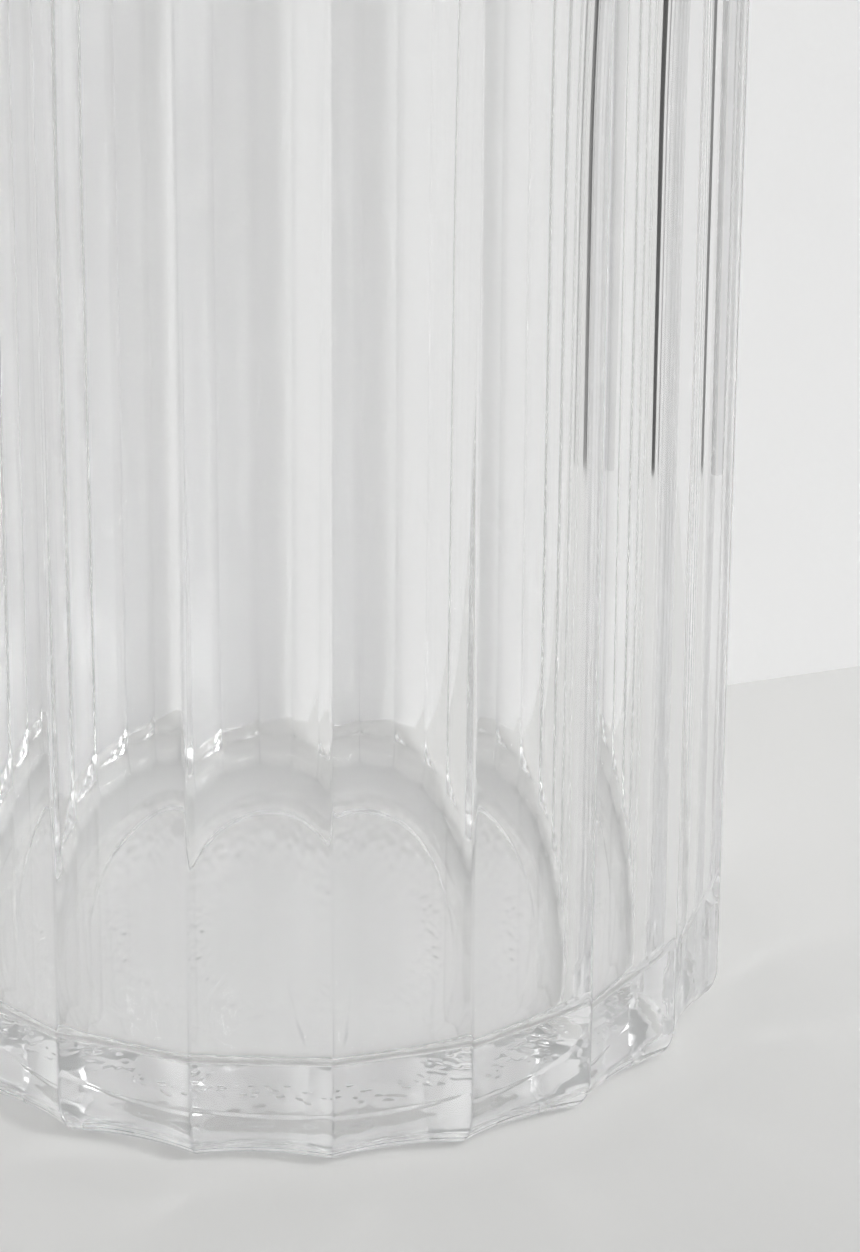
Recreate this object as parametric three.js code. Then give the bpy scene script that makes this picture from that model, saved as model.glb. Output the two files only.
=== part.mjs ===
// A fluted clear-glass decanter with a pressed-glass stopper and three silicone seal rings.
// Millimetres, +Z up. The origin is the centre of the ring that the decanter stands on.
import * as THREE from "three";

// Driving dimensions of the body
const FLUTE_COUNT = 20;
const RIDGE_RADIUS = 45; // over the sharp ridges between the flutes
const FLUTE_HOLLOW = 0.95; // how deep a flute is below the flat from ridge to ridge
const FOOT_ROUND = 4.9; // radius of the outer bottom edge
const BEARING_WIDTH = 8.7; // flat ring that the decanter stands on
const PUSH_UP = 1; // height of the hollow under the base
const FLOOR_HEIGHT = 8.8; // top of the solid glass base
const FLOOR_CORNER = 2.6; // radius between the rim of the inner floor and the inner wall
const RIM_WIDTH = 3.5; // sloping rim between the flat floor and the corner
const RIM_RISE = 0.8; // how much higher the rim is at the corner
const WALL_AT_FLUTE = 3.9; // wall behind the middle of a flute
const SHOULDER_HEIGHT = 156; // where the straight wall ends
const SHOULDER_RISE = 36; // from there to the neck
const SHOULDER_WALL = 4; // how far the inside of the shoulder lies below the outside

// Driving dimensions of the neck and its lip
const BORE_RADIUS = 11.5;
const NECK_WALL = 4.2;
const NECK_LENGTH = 30; // from the shoulder to the underside of the lip
const LIP_OVERHANG = 5.3; // how far the lip stands out from the neck
const LIP_THICKNESS = 5;
const LIP_ROUND = 2;
const LIP_FILLET = 3;
const MOUTH_ROUND = 1.5;

// Driving dimensions of the stopper and its seal rings
const SPIGOT_CLEARANCE = 1.7; // between the glass spigot and the bore
const SPIGOT_SHANK = 6; // plain glass from the top of the lip to the first groove
const SPIGOT_TIP = 6; // plain glass below the last groove
const SPIGOT_ROUND = 2.5;
const RING_COUNT = 3;
const GROOVE_DEPTH = 1.1;
const GROOVE_HEIGHT = 2.8;
const GROOVE_LAND = 4.2; // glass between two grooves
const SEAT_WIDTH = 3; // flat ring of the knob that sits on the lip
const KNOB_FOOT_ROUND = 4;
const KNOB_FLUTE_HOLLOW = 0.55;
const KNOB_HEIGHT = 40;
const KNOB_TOP_ROUND = 3;
const KNOB_CROWN = 0.8; // height of the gentle dome on top of the knob

// Clearances
const FIT_GAP = 0.3; // round a seal ring, in its groove and in the bore
const SEAT_GAP = 0.2; // between the knob and the lip

// How finely the round shapes are divided
const BODY_STEPS_PER_FLUTE = 4;
const KNOB_STEPS_PER_FLUTE = 2;
const WIDE_ARC_STEPS = 3;
const EDGE_STEPS = 2;
const SHOULDER_STEPS = 7;
const RING_SIDES = 32;
const RING_SECTION_SIDES = 6;

// Sizes that follow from the driving dimensions
const halfFlute = Math.PI / FLUTE_COUNT;
const fluteDepth = depthOfFlutes(RIDGE_RADIUS, FLUTE_HOLLOW);
const innerRadius = RIDGE_RADIUS - fluteDepth - WALL_AT_FLUTE;
const neckRadius = BORE_RADIUS + NECK_WALL;
const neckBase = SHOULDER_HEIGHT + SHOULDER_RISE;
const lipUnderside = neckBase + NECK_LENGTH;
const lipTop = lipUnderside + LIP_THICKNESS;
const spigotRadius = BORE_RADIUS - SPIGOT_CLEARANCE;
const grooveRadius = spigotRadius - GROOVE_DEPTH;
const seatHeight = lipTop + SEAT_GAP;
const seatRadius = BORE_RADIUS + MOUTH_ROUND + SEAT_WIDTH;
const knobRadius = seatRadius + KNOB_FOOT_ROUND;

// Depth of a flute's middle below the circle through the ridges.
function depthOfFlutes(ridgeRadius, hollow) {
  return ridgeRadius * (1 - Math.cos(halfFlute)) + hollow;
}

// How deep a flute is at an angle from its middle, as a share of its full depth: 1 in the middle, 0 on a ridge.
// The flute is an arc from ridge to ridge, hollow outwards.
function fluteShape(angleFromMiddle, ridgeRadius, hollow) {
  const middle = ridgeRadius - depthOfFlutes(ridgeRadius, hollow);
  const arcCentre = (ridgeRadius ** 2 - middle ** 2) / (2 * hollow);
  const arcRadius = arcCentre - middle;
  const across = arcCentre * Math.sin(angleFromMiddle);
  const radius = arcCentre * Math.cos(angleFromMiddle) - Math.sqrt(arcRadius ** 2 - across ** 2);
  return (ridgeRadius - radius) / (ridgeRadius - middle);
}

// A point of a profile: its radius, its height and how much of the flutes' depth is cut there.
function point(radius, height, flute = 0) {
  return { radius, height, flute };
}

function arc(centreRadius, centreHeight, radius, fromDegrees, toDegrees, steps, flute = 0) {
  return Array.from({ length: steps + 1 }, (_, step) => {
    const angle = THREE.MathUtils.degToRad(THREE.MathUtils.lerp(fromDegrees, toDegrees, step / steps));
    return point(
      centreRadius + radius * Math.cos(angle),
      centreHeight + radius * Math.sin(angle),
      flute,
    );
  });
}

// A turned solid whose outside is drawn in along the flutes.
function flutedLathe(profile, ridgeRadius, hollow, stepsPerFlute) {
  const points = profile.map((p) => new THREE.Vector2(p.radius, p.height));
  const geometry = new THREE.LatheGeometry(points, FLUTE_COUNT * stepsPerFlute);
  const depth = depthOfFlutes(ridgeRadius, hollow) / ridgeRadius;
  const position = geometry.getAttribute("position");
  for (let index = 0; index < position.count; index++) {
    const step = Math.floor(index / profile.length) % stepsPerFlute;
    const angle = ((2 * step) / stepsPerFlute - 1) * halfFlute;
    const { flute } = profile[index % profile.length];
    const kept = 1 - depth * flute * fluteShape(angle, ridgeRadius, hollow);
    position.setX(index, position.getX(index) * kept);
    position.setZ(index, position.getZ(index) * kept);
  }
  return geometry.rotateX(Math.PI / 2);
}

// The sweep from the wall into the neck, upright at both ends.
function shoulder(wallRadius, throatRadius, drop) {
  const low = SHOULDER_HEIGHT - drop;
  const high = neckBase - drop;
  return new THREE.CubicBezierCurve(
    new THREE.Vector2(wallRadius, low),
    new THREE.Vector2(wallRadius, THREE.MathUtils.lerp(low, high, 0.78)),
    new THREE.Vector2(throatRadius, THREE.MathUtils.lerp(low, high, 0.5)),
    new THREE.Vector2(throatRadius, high),
  ).getPoints(SHOULDER_STEPS);
}

// Height of the middle of a seal ring, counted from the top one down.
function ringHeight(ring) {
  return lipTop - SPIGOT_SHANK - GROOVE_HEIGHT / 2 - ring * (GROOVE_HEIGHT + GROOVE_LAND);
}

function namedMesh(name, geometry, material) {
  const mesh = new THREE.Mesh(geometry, material);
  mesh.name = name;
  return mesh;
}

const clearGlass = new THREE.MeshStandardMaterial({
  color: 0xe9edeb,
  roughness: 0.03,
  metalness: 0,
  transparent: true,
  opacity: 0.35,
});
const clearSilicone = new THREE.MeshStandardMaterial({
  color: 0xe4e4df,
  roughness: 0.35,
  metalness: 0,
  transparent: true,
  opacity: 0.7,
});

// The glass vessel: hollowed underside, fluted wall and shoulder, neck, lip and the smooth inside.
function decanterBody() {
  const footRadius = RIDGE_RADIUS - FOOT_ROUND;
  const bearingInner = footRadius - BEARING_WIDTH;
  const underside = [0, 1 / 3, 2 / 3, 1].map((share) =>
    point(bearingInner * share, PUSH_UP * (1 - share ** 2)),
  );
  const outsideShoulder = shoulder(RIDGE_RADIUS, neckRadius, 0).map((p, step) =>
    point(p.x, p.y, 1 - THREE.MathUtils.smoothstep(step / SHOULDER_STEPS, 0, 1)),
  );
  const lipRadius = neckRadius + LIP_OVERHANG;
  const lipRound = Math.min(LIP_ROUND, LIP_THICKNESS / 2.2, LIP_OVERHANG / 2.2);
  const lipFillet = Math.min(LIP_FILLET, LIP_OVERHANG - lipRound, NECK_LENGTH / 2);
  const lip = [
    ...arc(neckRadius + lipFillet, lipUnderside - lipFillet, lipFillet, 180, 90, EDGE_STEPS),
    ...arc(lipRadius - lipRound, lipUnderside + lipRound, lipRound, -90, 0, EDGE_STEPS),
    ...arc(lipRadius - lipRound, lipTop - lipRound, lipRound, 0, 90, EDGE_STEPS),
    ...arc(BORE_RADIUS + MOUTH_ROUND, lipTop - MOUTH_ROUND, MOUTH_ROUND, 90, 180, EDGE_STEPS),
  ];
  const insideShoulder = shoulder(innerRadius, BORE_RADIUS, SHOULDER_WALL)
    .reverse()
    .map((p) => point(p.x, p.y));
  const cornerRadius = innerRadius - FLOOR_CORNER;
  const cornerHeight = FLOOR_HEIGHT + RIM_RISE + FLOOR_CORNER;
  const profile = [
    ...underside,
    ...arc(footRadius, FOOT_ROUND, FOOT_ROUND, -90, 0, WIDE_ARC_STEPS, 1),
    ...outsideShoulder,
    ...lip,
    ...insideShoulder,
    ...arc(cornerRadius, cornerHeight, FLOOR_CORNER, 0, -90, WIDE_ARC_STEPS),
    point(cornerRadius - RIM_WIDTH, FLOOR_HEIGHT),
    point(0, FLOOR_HEIGHT),
  ];
  const geometry = flutedLathe(profile, RIDGE_RADIUS, FLUTE_HOLLOW, BODY_STEPS_PER_FLUTE);
  return namedMesh("decanter_body", geometry, clearGlass);
}

// The pressed-glass stopper in one piece: a grooved spigot under a fluted knob.
function stopper() {
  const grooves = Array.from({ length: RING_COUNT }, (_, fromBottom) => {
    const middle = ringHeight(RING_COUNT - 1 - fromBottom);
    const low = middle - GROOVE_HEIGHT / 2;
    const high = middle + GROOVE_HEIGHT / 2;
    return [
      point(spigotRadius, low),
      point(grooveRadius, low),
      point(grooveRadius, high),
      point(spigotRadius, high),
    ];
  }).flat();
  const spigotEnd = grooves[0].height - SPIGOT_TIP;
  const spigotRound = Math.min(SPIGOT_ROUND, SPIGOT_TIP / 2);
  const knobTop = seatHeight + KNOB_HEIGHT;
  const topRadius = knobRadius - KNOB_TOP_ROUND;
  const topRoundHeight = knobTop - KNOB_CROWN - KNOB_TOP_ROUND;
  const profile = [
    point(0, spigotEnd),
    ...arc(spigotRadius - spigotRound, spigotEnd + spigotRound, spigotRound, -90, 0, EDGE_STEPS),
    ...grooves,
    point(spigotRadius, seatHeight),
    ...arc(seatRadius, seatHeight + KNOB_FOOT_ROUND, KNOB_FOOT_ROUND, -90, 0, EDGE_STEPS, 1),
    ...arc(topRadius, topRoundHeight, KNOB_TOP_ROUND, 0, 90, EDGE_STEPS, 1),
    point(0, knobTop),
  ];
  const geometry = flutedLathe(profile, knobRadius, KNOB_FLUTE_HOLLOW, KNOB_STEPS_PER_FLUTE);
  return namedMesh("stopper", geometry, clearGlass);
}

// A silicone ring: a rounded section that fills its groove and reaches for the bore.
function sealRing(ring) {
  const inner = grooveRadius + FIT_GAP;
  const outer = BORE_RADIUS - FIT_GAP;
  const section = Array.from({ length: RING_SECTION_SIDES + 1 }, (_, side) => {
    const angle = (2 * Math.PI * side) / RING_SECTION_SIDES;
    return new THREE.Vector2(
      (inner + outer) / 2 + ((outer - inner) / 2) * Math.cos(angle),
      ringHeight(ring) + (GROOVE_HEIGHT / 2 - FIT_GAP) * Math.sin(angle),
    );
  });
  const geometry = new THREE.LatheGeometry(section, RING_SIDES).rotateX(Math.PI / 2);
  return namedMesh(`seal_ring_${ring + 1}`, geometry, clearSilicone);
}

const decanter = new THREE.Group();
decanter.add(decanterBody(), stopper());
for (let ring = 0; ring < RING_COUNT; ring++) decanter.add(sealRing(ring));

export default decanter;
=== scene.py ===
"""Dresses the fluted decanter: clear blown glass, a pressed-glass stopper and clear silicone seal rings."""
import math

import bmesh
import bpy
from mathutils import Matrix, Vector, noise


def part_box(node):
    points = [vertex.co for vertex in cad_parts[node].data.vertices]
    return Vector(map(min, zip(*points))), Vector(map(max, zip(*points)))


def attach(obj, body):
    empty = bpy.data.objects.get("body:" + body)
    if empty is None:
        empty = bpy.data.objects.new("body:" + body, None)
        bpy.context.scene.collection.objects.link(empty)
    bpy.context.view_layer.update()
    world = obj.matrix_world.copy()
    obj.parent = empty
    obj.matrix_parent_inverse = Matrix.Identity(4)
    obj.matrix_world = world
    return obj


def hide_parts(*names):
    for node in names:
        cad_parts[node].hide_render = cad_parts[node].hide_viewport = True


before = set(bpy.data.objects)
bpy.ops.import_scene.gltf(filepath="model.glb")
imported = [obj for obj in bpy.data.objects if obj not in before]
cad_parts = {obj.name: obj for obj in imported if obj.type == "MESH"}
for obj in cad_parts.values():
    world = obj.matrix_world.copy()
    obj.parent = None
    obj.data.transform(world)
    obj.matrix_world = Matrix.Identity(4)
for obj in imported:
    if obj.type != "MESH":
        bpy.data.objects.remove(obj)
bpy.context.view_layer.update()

MM = 0.001

# Sizes of the glass body, as in the solids
FLUTES = 20
body_low, body_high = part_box("decanter_body")
RIDGE_RADIUS = body_high[0]
LIP_TOP = body_high[2]
FLUTE_HOLLOW = 0.95 * MM
FOOT_ROUND = 4.9 * MM
BEARING_WIDTH = 8.7 * MM
PUSH_UP = 1 * MM
FLOOR_HEIGHT = 8.8 * MM
FLOOR_CORNER = 2.6 * MM
RIM_WIDTH = 6.1 * MM
RIM_FOOT_SLOPE, RIM_SLOPE = 6, 22
WALL_AT_FLUTE = 3.9 * MM
SHOULDER_HEIGHT = 156 * MM
SHOULDER_RISE = 36 * MM
SHOULDER_WALL = 4 * MM
BORE_RADIUS = 11.5 * MM
NECK_RADIUS = BORE_RADIUS + 4.2 * MM
LIP_RADIUS = NECK_RADIUS + 5.3 * MM
LIP_THICKNESS = 5 * MM
LIP_ROUND = 2 * MM
LIP_FILLET = 3 * MM
MOUTH_ROUND = 1.5 * MM

# Sizes of the stopper and its seal rings, as in the solids
stopper_low, stopper_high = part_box("stopper")
RINGS = ("seal_ring_1", "seal_ring_2", "seal_ring_3")
KNOB_RADIUS = stopper_high[0]
KNOB_TOP = stopper_high[2]
KNOB_SEAT = LIP_TOP + 0.2 * MM
KNOB_FOOT_ROUND = 4 * MM
KNOB_TOP_ROUND = 3 * MM
KNOB_CROWN = 0.8 * MM
KNOB_FLUTE_HOLLOW = 0.55 * MM
SPIGOT_END = stopper_low[2]
SPIGOT_RADIUS = BORE_RADIUS - 1.7 * MM
SPIGOT_ROUND = 2.5 * MM
GROOVE_RADIUS = SPIGOT_RADIUS - 1.1 * MM
GROOVE_HEIGHT = 2.8 * MM
GROOVE_EDGE = 0.25 * MM
RING_CLEARANCE = 0.3 * MM
SPIGOT_FILLET = 0.8 * MM

# What hand and mould leave in the glass
RIDGE_SOFTNESS = 0.12 * MM
# A thin darker, duller line drawn along each ridge, clearest round the foot
RIDGE_LINE_WIDTH, RIDGE_LINE_ON_WALL = 0.18 * MM, 0.15
RIDGE_LINE_TOP, RIDGE_LINE_FADE = 9 * MM, 6 * MM
INNER_RIPPLE = 0.06 * MM
BORE_SHIFT = Vector((-1.4 * MM, -0.4 * MM, 0))
BLOWN_WAVE = 0.06 * MM
BLOWN_WAVE_LENGTH = Vector((30 * MM, 30 * MM, 600 * MM))
BASE_WAVE = 0.03 * MM
BASE_GRAIN = 0.016 * MM
MARK_HEIGHT = 0.11 * MM
MARK_PITCH = 1.15 * MM
MARK_INNER, MARK_OUTER = 15 * MM, 24.5 * MM
MARK_BORDER, MARK_BORDER_STEP = 26.5 * MM, 0.03 * MM
MARK_BACK_EDGE, MARK_BACK_FADE = 10 * MM, 12 * MM
BASE_WAVE_LENGTH, FLOOR_WAVE_LENGTH, BASE_GRAIN_LENGTH = 14 * MM, 16 * MM, 2.2 * MM
BLOWN_FADE = 60 * MM
UNDERSIDE_SOFTNESS = 0.7

# Fineness of the meshes; the rows of the underside are radii in millimetres
STEPS_PER_FLUTE = 20
KNOB_STEPS_PER_FLUTE = 12
RIDGE_GATHERING = 1.9
MARK_ROWS = [14.5 + 0.5 * i for i in range(24)]
UNDERSIDE_ROWS = (0, 3, 6, 9, 12, *MARK_ROWS, 26.4, 26.6, 27.5, 28.5, 29.5, 30.4)

# Where the photographer stood
CAMERA_DISTANCE = 540 * MM
CAMERA_AZIMUTH = -4.36
CAMERA_ELEVATION = 27.6
CAMERA_YAW, CAMERA_PITCH, CAMERA_ROLL = -1.52, 3.81, 0.36
CAMERA_LENS_MM = 145.8
WALL_DISTANCE = 52 * MM
WALL_TURN = 18.1 + CAMERA_AZIMUTH

# The light: a soft room, and a window-like box in front on the right
ROOM_LIGHT = 0.707
KEY_AZIMUTH, KEY_ELEVATION = 43, 42
KEY_DISTANCE = 1.6
KEY_SIZE = 0.32
KEY_WATTS = 6.8

# The boards of the stage; the floor carries painted light: its paint darkens towards the front as painted
# shade for the light's falloff, and is paler under the glass as a painted pool of light
FLOOR_PAINT, FLOOR_LEVEL, FLOOR_PAINTED_FALLOFF, FLOOR_PAINTED_LIGHT_POOL = (0.765, 0.765, 0.755), 0.95, 1.6, 0.09
PAINTED_POOL_INNER, PAINTED_POOL_OUTER = 38 * MM, 50 * MM
FLOOR_GAP = 0.2 * MM
WALL_PAINT = (0.92, 0.92, 0.92)
CARD_PAINT = (0.02, 0.02, 0.02)
CARD_SIZE, CARD_TAPER = (47 * MM, 70 * MM), 0.65
CARD_CENTRE, CARD_TURN = (171.3 * MM, 60.3 * MM, 35 * MM), -59.4

half_flute = math.pi / FLUTES


class Wire:
    """A socket of a node tree that takes part in sums; without a socket it only adds nodes."""

    def __init__(self, tree, socket=None):
        self.tree, self.socket = tree, socket

    def node(self, kind, settings={}, sockets={}, output=0):
        made = self.tree.nodes.new(kind)
        for name, value in settings.items():
            setattr(made, name, value)
        for key, value in sockets.items():
            if isinstance(value, Wire):
                self.tree.links.new(value.socket, made.inputs[key])
            else:
                made.inputs[key].default_value = value
        return Wire(self.tree, made.outputs[output])

    def feed(self, shader, key):
        self.tree.links.new(self.socket, shader.inputs[key])

    def sum(self, operation, first, second):
        return self.node("ShaderNodeMath", {"operation": operation}, {0: first, 1: second})

    def __add__(self, other):
        return self.sum("ADD", self, other)

    def __mul__(self, other):
        return self.sum("MULTIPLY", self, other)

    __radd__, __rmul__ = __add__, __mul__


def flute_depth(ridge_radius, hollow):
    """Depth of a flute's middle below the circle through the ridges."""
    return ridge_radius * (1 - math.cos(half_flute)) + hollow


def flute_drop(angle_from_ridge, ridge_radius, hollow):
    """How far a flute lies below the ridge circle, at an angle from its nearest ridge."""
    middle = ridge_radius - flute_depth(ridge_radius, hollow)
    arc_centre = (ridge_radius**2 - middle**2) / (2 * hollow)
    arc_radius = arc_centre - middle
    angle = half_flute - angle_from_ridge
    across = arc_centre * math.sin(angle)
    return ridge_radius - arc_centre * math.cos(angle) + math.sqrt(arc_radius**2 - across**2)


INNER_RADIUS = RIDGE_RADIUS - flute_depth(RIDGE_RADIUS, FLUTE_HOLLOW) - WALL_AT_FLUTE
FOOT_RADIUS = RIDGE_RADIUS - FOOT_ROUND
BEARING_INNER = FOOT_RADIUS - BEARING_WIDTH
FLUTE_START = BEARING_INNER + 3 * MM


def arc(centre_radius, centre_height, radius, start, stop, steps):
    angles = [math.radians(start + (stop - start) * i / steps) for i in range(steps + 1)]
    return [(centre_radius + radius * math.cos(a), centre_height + radius * math.sin(a)) for a in angles]


def line(start, stop, steps):
    return [tuple(a + (b - a) * i / steps for a, b in zip(start, stop)) for i in range(steps + 1)]


def smoothstep(x):
    x = min(max(x, 0.0), 1.0)
    return x * x * (3 - 2 * x)


def shoulder_curve(wall_radius, throat_radius, drop, steps):
    low = SHOULDER_HEIGHT - drop
    high = low + SHOULDER_RISE
    points = [
        (wall_radius, low),
        (wall_radius, low + 0.78 * SHOULDER_RISE),
        (throat_radius, low + 0.5 * SHOULDER_RISE),
        (throat_radius, high),
    ]
    curve = []
    for i in range(steps + 1):
        t = i / steps
        weights = ((1 - t) ** 3, 3 * (1 - t) ** 2 * t, 3 * (1 - t) * t**2, t**3)
        curve.append(tuple(sum(w * p[k] for w, p in zip(weights, points)) for k in (0, 1)))
    return curve


def spin_profile(profile, steps):
    """Turns a profile of (radius, height) points about the upright axis."""
    bm = bmesh.new()
    verts = [bm.verts.new((0, -r, z)) for r, z in profile]
    edges = [bm.edges.new(pair) for pair in zip(verts, verts[1:])]
    bmesh.ops.spin(
        bm, geom=verts + edges, cent=(0, 0, 0), axis=(0, 0, 1), angle=2 * math.pi, steps=steps, use_merge=True
    )
    bmesh.ops.remove_doubles(bm, verts=bm.verts, dist=1e-6)
    return bm


def cut_flutes(bm, ridge_radius, hollow, share_at):
    """Draws the outside in along the flutes, with the rings of points gathered at the ridges."""
    softness = RIDGE_SOFTNESS / ridge_radius
    top = flute_drop(softness, ridge_radius, hollow)
    for v in bm.verts:
        radius = math.hypot(v.co.x, v.co.y)
        share = share_at(radius, v.co.z)
        if share == 0:
            continue
        angle = math.atan2(v.co.x, -v.co.y)
        ridge = round(angle / (2 * half_flute))
        offset = angle / (2 * half_flute) - ridge
        gathered = math.copysign(0.5 * abs(2 * offset) ** RIDGE_GATHERING, offset)
        angle_from_ridge = abs(gathered) * 2 * half_flute
        soft = min(math.hypot(angle_from_ridge, softness), half_flute)
        drop = (flute_drop(soft, ridge_radius, hollow) - top) / ridge_radius
        turned = (ridge + offset + (gathered - offset) * share) * 2 * half_flute
        radius *= 1 - drop * share
        v.co.x, v.co.y = radius * math.sin(turned), -radius * math.cos(turned)


def body_share(radius, height):
    """How much of the flutes' depth is cut at a point of the body's outside."""
    if height < FOOT_ROUND and radius < FOOT_RADIUS:
        return smoothstep((radius - FLUTE_START) / (FOOT_RADIUS - FLUTE_START))
    return 1 - smoothstep((height - SHOULDER_HEIGHT) / SHOULDER_RISE)


def ridge_line(place):
    """Strength of the thin darker, duller line drawn along a ridge in the glass's colour and roughness,
    clearest round the foot.
    """
    if place.z < FOOT_ROUND and math.hypot(place.x, place.y) < FOOT_RADIUS:
        return 0
    turns = math.atan2(place.x, -place.y) / (2 * half_flute)
    beside = abs(turns - round(turns)) * 2 * half_flute * RIDGE_RADIUS
    near_foot = smoothstep(1 - (place.z - RIDGE_LINE_TOP) / RIDGE_LINE_FADE)
    along = RIDGE_LINE_ON_WALL + (1 - RIDGE_LINE_ON_WALL) * near_foot
    return max(1 - beside / RIDGE_LINE_WIDTH, 0) * along * body_share(RIDGE_RADIUS, place.z)


def knob_share(radius, height):
    """How much of the flutes' depth is cut at a point of the stopper."""
    if height < KNOB_SEAT - 1e-6:
        return 0
    return smoothstep((radius / KNOB_RADIUS - 0.55) / 0.3)


def press_base_marks(bm):
    """Raises a ring of plain stipple under the base, and lets the underside wave a little."""
    for v in bm.verts:
        radius = math.hypot(v.co.x, v.co.y)
        if v.co.z > FOOT_ROUND or radius > BEARING_INNER - 0.6 * MM:
            continue
        if MARK_INNER - 1e-6 < radius < MARK_OUTER + 1e-6:
            ring = math.sin(math.pi * (radius - MARK_INNER) / (MARK_OUTER - MARK_INNER))
            ahead = smoothstep((MARK_BACK_EDGE - v.co.y) / MARK_BACK_FADE)
            v.co.z -= MARK_HEIGHT * ring * ahead * max(noise.noise(v.co / MARK_PITCH), 0)
        wave = BASE_WAVE * noise.noise(v.co / BASE_WAVE_LENGTH)
        v.co.z += wave + BASE_GRAIN * noise.noise(v.co / BASE_GRAIN_LENGTH)


def blow_inside(bm):
    """Gives the inside the slight ripple and waviness of blown glass, and its wall an uneven thickness."""
    for v in bm.verts:
        radius = math.hypot(v.co.x, v.co.y)
        below_shoulder = smoothstep((SHOULDER_HEIGHT - v.co.z) / BLOWN_FADE)
        if radius > 1e-6:
            angle = math.atan2(v.co.x, -v.co.y)
            wall = below_shoulder * smoothstep((radius / INNER_RADIUS - 0.8) / 0.2)
            ripple = INNER_RIPPLE * math.cos(FLUTES * angle)
            wave = BLOWN_WAVE * noise.noise(Vector(c / length for c, length in zip(v.co, BLOWN_WAVE_LENGTH)))
            radius += (ripple + wave) * wall
            v.co.x, v.co.y = radius * math.sin(angle), -radius * math.cos(angle)
        floor_share = 1 - smoothstep((radius / INNER_RADIUS - 0.6) / 0.3)
        if v.co.z < FLOOR_HEIGHT + FLOOR_CORNER:
            v.co.z += BASE_WAVE * floor_share * noise.noise(v.co / FLOOR_WAVE_LENGTH)
        v.co += BORE_SHIFT * below_shoulder


def piece_from(bm, name):
    bmesh.ops.recalc_face_normals(bm, faces=bm.faces)
    mesh = bpy.data.meshes.new(name)
    bm.to_mesh(mesh)
    bm.free()
    mesh.polygons.foreach_set("use_smooth", [True] * len(mesh.polygons))
    piece = bpy.data.objects.new(name, mesh)
    bpy.context.scene.collection.objects.link(piece)
    return piece


def decanter_glass():
    lip_underside = LIP_TOP - LIP_THICKNESS
    underside = [
        (r * MM, PUSH_UP * (1 - (r * MM / BEARING_INNER) ** 2) + MARK_BORDER_STEP * (r * MM < MARK_BORDER))
        for r in UNDERSIDE_ROWS
    ]
    outside = (
        underside
        + [(BEARING_INNER - 0.4 * MM, 0.032 * MM), (BEARING_INNER, 0.01 * MM), (BEARING_INNER + 0.5 * MM, 0)]
        + line((BEARING_INNER + 1.5 * MM, 0), (FOOT_RADIUS - 1.5 * MM, 0), 5)
        + arc(FOOT_RADIUS, FOOT_ROUND, FOOT_ROUND, -90, 0, 14)
        + line((RIDGE_RADIUS, FOOT_ROUND), (RIDGE_RADIUS, SHOULDER_HEIGHT), 10)
        + shoulder_curve(RIDGE_RADIUS, NECK_RADIUS, 0, 22)
        + arc(NECK_RADIUS + LIP_FILLET, lip_underside - LIP_FILLET, LIP_FILLET, 180, 90, 7)
        + arc(LIP_RADIUS - LIP_ROUND, lip_underside + LIP_ROUND, LIP_ROUND, -90, 0, 6)
        + arc(LIP_RADIUS - LIP_ROUND, LIP_TOP - LIP_ROUND, LIP_ROUND, 0, 90, 6)
    )
    foot_slope, slope = (math.tan(math.radians(a)) for a in (RIM_FOOT_SLOPE, RIM_SLOPE))
    rim_start = INNER_RADIUS - RIM_WIDTH
    rim_stop = INNER_RADIUS - FLOOR_CORNER * (1 - math.sin(math.radians(RIM_SLOPE)))
    rim_width = rim_stop - rim_start
    rim = []
    for u in (1, 0.9, 0.8, 0.7, 0.6, 0.5, 0.4, 0.3, 0.2, 0.1):
        rise = rim_width * (foot_slope * u + (slope - foot_slope) * u * u / 2)
        rim.append((rim_start + rim_width * u, FLOOR_HEIGHT + rise))
    corner = rim[0][1] + FLOOR_CORNER * math.cos(math.radians(RIM_SLOPE))
    inside = (
        [outside[-1]]
        + arc(BORE_RADIUS + MOUTH_ROUND, LIP_TOP - MOUTH_ROUND, MOUTH_ROUND, 90, 180, 6)
        + list(reversed(shoulder_curve(INNER_RADIUS, BORE_RADIUS, SHOULDER_WALL, 22)))
        + line((INNER_RADIUS, SHOULDER_HEIGHT - SHOULDER_WALL), (INNER_RADIUS, corner), 34)
        + arc(INNER_RADIUS - FLOOR_CORNER, corner, FLOOR_CORNER, 0, RIM_SLOPE - 90, 12)
        + rim
        + line((rim_start - 0.5 * MM, FLOOR_HEIGHT), (0, FLOOR_HEIGHT), 14)
    )
    steps = FLUTES * STEPS_PER_FLUTE
    bm = spin_profile(outside, steps)
    press_base_marks(bm)
    cut_flutes(bm, RIDGE_RADIUS, FLUTE_HOLLOW, body_share)
    inner = spin_profile(inside, steps)
    blow_inside(inner)
    mesh = bpy.data.meshes.new("inside")
    inner.to_mesh(mesh)
    inner.free()
    outer_count = len(bm.verts)
    bm.from_mesh(mesh)
    bpy.data.meshes.remove(mesh)
    softness = bm.verts.layers.float.new("softness")
    ridge_darkening = bm.verts.layers.float.new("ridge_line")
    for i, v in enumerate(bm.verts):
        below = v.co.z < FOOT_ROUND and math.hypot(v.co.x, v.co.y) < BEARING_INNER
        v[softness] = UNDERSIDE_SOFTNESS if below else float(i >= outer_count)
        v[ridge_darkening] = ridge_line(v.co) if i < outer_count else 0
    bmesh.ops.remove_doubles(bm, verts=bm.verts, dist=2e-6)
    return piece_from(bm, "decanter_glass")


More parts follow.
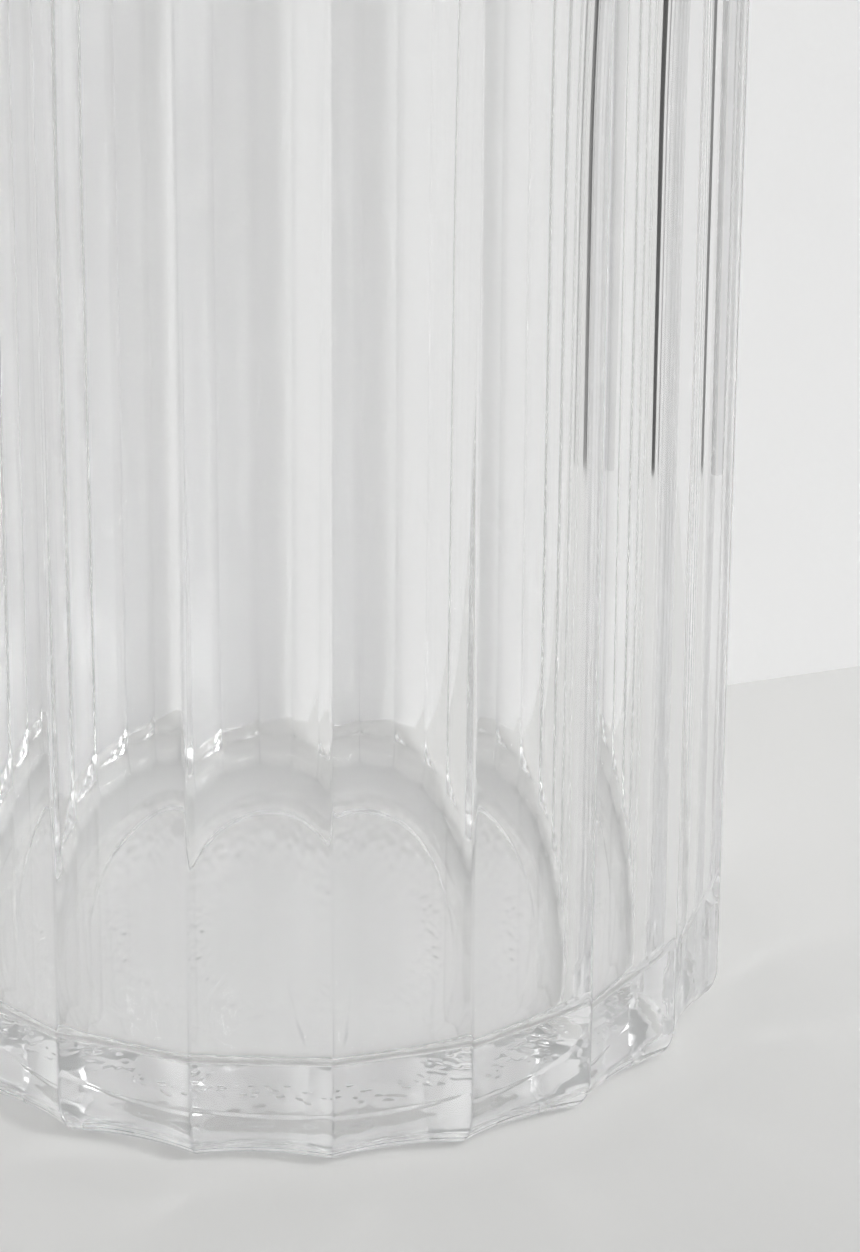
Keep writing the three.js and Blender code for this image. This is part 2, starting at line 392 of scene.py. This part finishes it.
def stopper_glass():
    grooves = []
    for ring in reversed(RINGS):
        low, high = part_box(ring)
        middle = (low[2] + high[2]) / 2
        bottom, top = middle - GROOVE_HEIGHT / 2, middle + GROOVE_HEIGHT / 2
        grooves += (
            arc(SPIGOT_RADIUS - GROOVE_EDGE, bottom - GROOVE_EDGE, GROOVE_EDGE, 0, 90, 3)
            + arc(GROOVE_RADIUS + GROOVE_EDGE, bottom + GROOVE_EDGE, GROOVE_EDGE, -90, -180, 3)
            + arc(GROOVE_RADIUS + GROOVE_EDGE, top - GROOVE_EDGE, GROOVE_EDGE, 180, 90, 3)
            + arc(SPIGOT_RADIUS - GROOVE_EDGE, top + GROOVE_EDGE, GROOVE_EDGE, -90, 0, 3)
        )
    seat_radius = KNOB_RADIUS - KNOB_FOOT_ROUND
    top_radius = KNOB_RADIUS - KNOB_TOP_ROUND
    side_top = KNOB_TOP - KNOB_CROWN - KNOB_TOP_ROUND
    crown = [(top_radius * s, KNOB_TOP - KNOB_CROWN * s * s) for s in (0.9, 0.75, 0.6, 0.45, 0.3, 0.15, 0)]
    profile = (
        line((0, SPIGOT_END), (SPIGOT_RADIUS - SPIGOT_ROUND, SPIGOT_END), 4)
        + arc(SPIGOT_RADIUS - SPIGOT_ROUND, SPIGOT_END + SPIGOT_ROUND, SPIGOT_ROUND, -90, 0, 8)
        + grooves
        + arc(SPIGOT_RADIUS + SPIGOT_FILLET, KNOB_SEAT - SPIGOT_FILLET, SPIGOT_FILLET, 180, 90, 5)
        + arc(seat_radius, KNOB_SEAT + KNOB_FOOT_ROUND, KNOB_FOOT_ROUND, -90, 0, 12)
        + line((KNOB_RADIUS, KNOB_SEAT + KNOB_FOOT_ROUND), (KNOB_RADIUS, side_top), 8)
        + arc(top_radius, side_top, KNOB_TOP_ROUND, 0, 90, 10)
        + crown
    )
    bm = spin_profile(profile, FLUTES * KNOB_STEPS_PER_FLUTE)
    cut_flutes(bm, KNOB_RADIUS, KNOB_FLUTE_HOLLOW, knob_share)
    return piece_from(bm, "stopper_glass")


def silicone_ring(name):
    low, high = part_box(name)
    outer = high[0]
    inner = GROOVE_RADIUS + RING_CLEARANCE
    bm = bmesh.new()
    made = bmesh.ops.create_circle(bm, cap_ends=False, radius=1, segments=20)
    section = made["verts"]
    bmesh.ops.scale(bm, vec=((outer - inner) / 2, (high[2] - low[2]) / 2, 1), verts=section)
    bmesh.ops.rotate(bm, cent=(0, 0, 0), matrix=Matrix.Rotation(math.radians(90), 3, "X"), verts=section)
    bmesh.ops.translate(bm, vec=((outer + inner) / 2, 0, (high[2] + low[2]) / 2), verts=section)
    ring = bm.verts[:] + bm.edges[:]
    bmesh.ops.spin(
        bm, geom=ring, cent=(0, 0, 0), axis=(0, 0, 1), angle=2 * math.pi, steps=120, use_merge=True
    )
    bmesh.ops.remove_doubles(bm, verts=bm.verts, dist=1e-6)
    return piece_from(bm, "silicone_" + name)


def new_finish(name):
    material = bpy.data.materials.new(name)
    material.use_nodes = True
    return material, material.node_tree.nodes["Principled BSDF"], Wire(material.node_tree)


def cloud(wire, place, scale, detail=2.0):
    """Soft noise from 0 to 1, with its scale in lumps to the metre."""
    return wire.node("ShaderNodeTexNoise", {}, {"Vector": place, "Scale": scale, "Detail": detail})


def blown_glass():
    """Clear soda-lime glass: fire-polished outside, a slightly soft inside, and the faintest tint."""
    material, shader, wire = new_finish("clear_blown_glass")
    place = wire.node("ShaderNodeTexCoord", output="Object")
    softness = wire.node("ShaderNodeAttribute", {"attribute_name": "softness"}, output="Fac")
    drift = cloud(wire, place, 25, 0)
    tint = wire.node(
        "ShaderNodeMix",
        {"data_type": "RGBA"},
        {0: drift, 6: (0.994, 0.995, 0.995, 1), 7: (1, 1, 1, 1)},
        output=2,
    )
    # The glass's colour is darkened, and its roughness raised, in a thin line along each ridge
    ridge_darkening = wire.node("ShaderNodeAttribute", {"attribute_name": "ridge_line"}, output="Fac")
    ridge_darkened = wire.node(
        "ShaderNodeMix", {"data_type": "RGBA"}, {0: 0.6 * ridge_darkening, 6: tint, 7: (0.4, 0.41, 0.44, 1)}, output=2
    )
    ridge_darkened.feed(shader, "Base Color")
    (softness * (0.03 + 0.03 * drift) + 0.2 * ridge_darkening).feed(shader, "Roughness")
    shader.inputs["IOR"].default_value = 1.5
    shader.inputs["Transmission Weight"].default_value = 1.0
    depth = wire.node("ShaderNodeVolumeAbsorption", {}, {"Color": (0.51, 0.53, 0.53, 1), "Density": 2.1})
    depth.feed(material.node_tree.nodes["Material Output"], "Volume")
    return material


def clear_silicone():
    """Clear silicone: a little milky, with a soft moulded bloom."""
    material, shader, wire = new_finish("clear_silicone")
    place = wire.node("ShaderNodeTexCoord", output="Object")
    milk = wire.node(
        "ShaderNodeMix",
        {"data_type": "RGBA"},
        {0: cloud(wire, place, 300, 3), 6: (0.86, 0.87, 0.86, 1), 7: (0.94, 0.94, 0.93, 1)},
        output=2,
    )
    milk.feed(shader, "Base Color")
    (0.28 + 0.18 * cloud(wire, place, 700, 3)).feed(shader, "Roughness")
    bloom = wire.node(
        "ShaderNodeBump", {}, {"Strength": 0.2, "Distance": 0.0001, "Height": cloud(wire, place, 1500, 2)}
    )
    bloom.feed(shader, "Normal")
    shader.inputs["IOR"].default_value = 1.41
    shader.inputs["Transmission Weight"].default_value = 0.75
    return material


def painted_board(name, colour, level=0.985, painted_falloff=0.0, painted_light_pool=0.0):
    """Matt paint for a board of the stage, with optional painted shade that darkens it towards the front and
    an optional painted pool of light that makes it paler in the middle.
    """
    material, shader, wire = new_finish(name)
    place = wire.node("ShaderNodeTexCoord", output="Object")
    depth = wire.node("ShaderNodeSeparateXYZ", {}, {0: place}, output=1)
    # Painted shade: the paint darkens towards the front, standing in for the light falling off
    lightness = wire.node(
        "ShaderNodeClamp", {}, {0: level + 0.015 * cloud(wire, place, 9, 3) + painted_falloff * depth, 1: 0.8, 2: 1.06}
    )
    # Painted light: a pool of paler paint under the glass, standing in for light let through the glass
    if painted_light_pool:
        away = wire.node("ShaderNodeVectorMath", {"operation": "LENGTH"}, {0: place}, output=1)
        painted_pool_share = wire.node("ShaderNodeMapRange", {}, {0: away, 1: PAINTED_POOL_INNER, 2: PAINTED_POOL_OUTER, 3: 1.0, 4: 0.0})
        lightness = lightness + painted_light_pool * painted_pool_share
    shade = wire.node(
        "ShaderNodeMix", {"data_type": "RGBA"}, {0: lightness, 6: (0, 0, 0, 1), 7: (*colour, 1)}, output=2
    )
    shade.feed(shader, "Base Color")
    shader.inputs["Roughness"].default_value = 0.8
    shader.inputs["Specular IOR Level"].default_value = 0.1
    return material


def clear_from_behind(material):
    """Lets the back of a board be looked through."""
    wire = Wire(material.node_tree)
    nodes = material.node_tree.nodes
    behind = wire.node("ShaderNodeNewGeometry", output="Backfacing")
    front = Wire(material.node_tree, nodes["Principled BSDF"].outputs[0])
    open_air = wire.node("ShaderNodeBsdfTransparent")
    mixed = wire.node("ShaderNodeMixShader", {}, {0: behind, 1: front, 2: open_air})
    mixed.feed(nodes["Material Output"], "Surface")


def stage_board(name, size, matrix, material, taper=1.0):
    """A flat board, which may be narrower along its lower edge."""
    bm = bmesh.new()
    bmesh.ops.create_grid(bm, x_segments=1, y_segments=1, size=0.5)
    bmesh.ops.scale(bm, vec=(size[0], size[1], 1), verts=bm.verts)
    bmesh.ops.scale(bm, vec=(taper, 1, 1), verts=[v for v in bm.verts if v.co.y < 0])
    bmesh.ops.transform(bm, matrix=matrix, verts=bm.verts)
    mesh = bpy.data.meshes.new(name)
    bm.to_mesh(mesh)
    bm.free()
    board = bpy.data.objects.new(name, mesh)
    board.data.materials.append(material)
    bpy.context.scene.collection.objects.link(board)
    return board


def studio():
    """Pale floor with painted shade towards the front and a painted pool of light under the glass, pale wall
    close behind, a dark card out of view on the right, and a soft bright room.
    """
    floor_paint = painted_board("pale_floor", FLOOR_PAINT, FLOOR_LEVEL, FLOOR_PAINTED_FALLOFF, FLOOR_PAINTED_LIGHT_POOL)
    stage_board("floor", (3, 3), Matrix.Translation((0, 0, -FLOOR_GAP)), floor_paint)
    wall_paint = painted_board("pale_wall", WALL_PAINT)
    clear_from_behind(wall_paint)
    upright = Matrix.Rotation(math.radians(90), 4, "X")
    wall_turn = Matrix.Rotation(math.radians(WALL_TURN), 4, "Z")
    wall_place = wall_turn @ Matrix.Translation((0, WALL_DISTANCE, 0.28))
    stage_board("wall", (1.4, 0.6), wall_place @ upright, wall_paint)
    card_turn = Matrix.Rotation(math.radians(CARD_TURN), 4, "Z")
    card_place = Matrix.Translation(CARD_CENTRE) @ card_turn @ upright
    card = stage_board("dark_card", CARD_SIZE, card_place, painted_board("dark_card", CARD_PAINT), CARD_TAPER)
    card.visible_camera = card.visible_diffuse = card.visible_shadow = False

    world = bpy.data.worlds.new("soft_room")
    bpy.context.scene.world = world
    world.use_nodes = True
    background = world.node_tree.nodes["Background"]
    wire = Wire(world.node_tree)
    way = wire.node("ShaderNodeTexCoord", output="Generated")
    ahead = wire.node("ShaderNodeSeparateXYZ", {}, {0: way}, output=1)
    up = wire.node("ShaderNodeSeparateXYZ", {}, {0: way}, output=2)
    (ROOM_LIGHT * (1.0 + 0.15 * up + 0.2 * ahead)).feed(background, "Strength")
    background.inputs["Color"].default_value = (1.0, 1.0, 1.0, 1)

    lamp = bpy.data.lights.new("window_box", "AREA")
    lamp.shape = "SQUARE"
    lamp.size = KEY_SIZE
    lamp.energy = KEY_WATTS
    key = bpy.data.objects.new("window_box", lamp)
    round_by = Matrix.Rotation(math.radians(CAMERA_AZIMUTH + KEY_AZIMUTH), 4, "Z")
    tip = Matrix.Rotation(math.radians(90 - KEY_ELEVATION), 4, "X")
    key.matrix_world = round_by @ tip @ Matrix.Translation((0, 0, KEY_DISTANCE))
    bpy.context.scene.collection.objects.link(key)


def photographers_camera():
    elevation = math.radians(CAMERA_ELEVATION)
    place = CAMERA_DISTANCE * Vector((0, -math.cos(elevation), math.sin(elevation)))
    ahead = -place.normalized()
    right = Vector((1, 0, 0))
    up = right.cross(ahead)
    yaw = Matrix.Rotation(math.radians(CAMERA_YAW), 3, up)
    ahead, right = yaw @ ahead, yaw @ right
    pitch = Matrix.Rotation(math.radians(CAMERA_PITCH), 3, right)
    ahead, up = pitch @ ahead, pitch @ up
    roll = Matrix.Rotation(math.radians(CAMERA_ROLL), 3, ahead)
    right, up = roll @ right, roll @ up
    turn = Matrix((right, up, -ahead)).transposed().to_4x4()
    data = bpy.data.cameras.new("camera")
    data.lens = CAMERA_LENS_MM
    data.sensor_width = 36
    camera = bpy.data.objects.new("camera", data)
    camera.matrix_world = (
        Matrix.Rotation(math.radians(CAMERA_AZIMUTH), 4, "Z") @ Matrix.Translation(place) @ turn
    )
    bpy.context.scene.collection.objects.link(camera)
    bpy.context.scene.camera = camera


glass, silicone = blown_glass(), clear_silicone()
pieces = [(decanter_glass(), glass, "decanter", "decanter_body", "clear_glass")]
pieces.append((stopper_glass(), glass, "stopper", "stopper", "clear_glass"))
pieces += [(silicone_ring(ring), silicone, "seals", ring, "clear_silicone") for ring in RINGS]
for piece, finish, body, node, slot in pieces:
    piece.data.materials.append(finish)
    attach(piece, body)
    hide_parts(node)

studio()
photographers_camera()
scene = bpy.context.scene
scene.view_settings.view_transform = "Standard"
scene.cycles.max_bounces = 64
scene.cycles.transmission_bounces = 64
scene.cycles.glossy_bounces = 64
scene.cycles.blur_glossy = 0
scene.cycles.sample_clamp_indirect = 0
